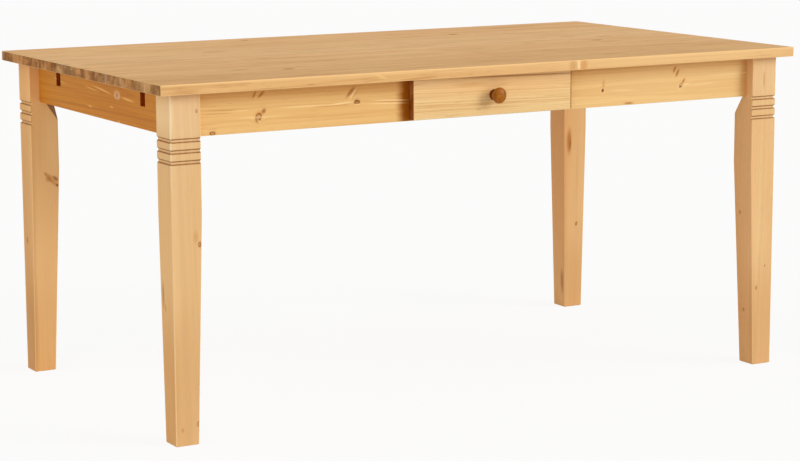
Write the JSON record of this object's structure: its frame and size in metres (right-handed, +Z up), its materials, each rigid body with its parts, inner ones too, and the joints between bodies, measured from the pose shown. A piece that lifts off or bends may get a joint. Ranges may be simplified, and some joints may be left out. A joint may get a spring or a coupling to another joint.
{
  "type": "dining table",
  "caption": "Rectangular pine dining table with grooved tapered legs, an apron drawer with a turned knob, and end slots for clip-on leaves.",
  "frame": {"origin": "on the floor, under the middle of the table top", "axes": "+X along the length, -Y towards the drawer front, +Z up"},
  "size_m": [1.6, 0.9, 0.75],
  "materials": {
    "top_pine": "oiled",
    "leg_pine": "oiled",
    "apron_pine": "oiled",
    "drawer_front_pine": "oiled",
    "inner_pine": "planed, raw",
    "plywood": "sanded",
    "knob_wood": "stained and oiled",
    "beech": "raw",
    "zinc_steel": "zinc plated"
  },
  "bodies": {
    "table": {"back_apron": "apron_pine", "bearer_rail_left": "inner_pine", "bearer_rail_right": "inner_pine", "bolt_nuts": "zinc_steel", "bolt_washers": "zinc_steel", "bracket_screws": "zinc_steel", "corner_bracket_back_left": "zinc_steel", "corner_bracket_back_right": "zinc_steel", "corner_bracket_front_left": "zinc_steel", "corner_bracket_front_right": "zinc_steel", "front_apron": "apron_pine", "guide_rail_left": "inner_pine", "guide_rail_right": "inner_pine", "hanger_bolts": "zinc_steel", "kicker_left": "inner_pine", "kicker_right": "inner_pine", "left_apron": "apron_pine", "leg_back_left": "leg_pine", "leg_back_right": "leg_pine", "leg_front_left": "leg_pine", "leg_front_right": "leg_pine", "rail_dowels": "beech", "right_apron": "apron_pine", "runner_left": "inner_pine", "runner_right": "inner_pine", "strip_screws": "zinc_steel", "top_angle_screws": "zinc_steel", "top_angles": "zinc_steel", "top_stave_1": "top_pine", "top_stave_2": "top_pine", "top_stave_3": "top_pine", "top_stave_4": "top_pine", "top_stave_5": "top_pine", "top_stave_6": "top_pine", "top_stave_7": "top_pine", "top_stave_8": "top_pine"},
    "drawer": {"drawer_back": "inner_pine", "drawer_bottom": "plywood", "drawer_dowels": "beech", "drawer_front": "drawer_front_pine", "drawer_knob": "knob_wood", "drawer_side_left": "inner_pine", "drawer_side_right": "inner_pine", "knob_screw": "zinc_steel"}
  },
  "joints": [
    {"name": "drawer_slide", "type": "slide", "parent": "table", "child": "drawer", "axis": [0, -1, 0], "range_m": [0, 0.3]}
  ]
}
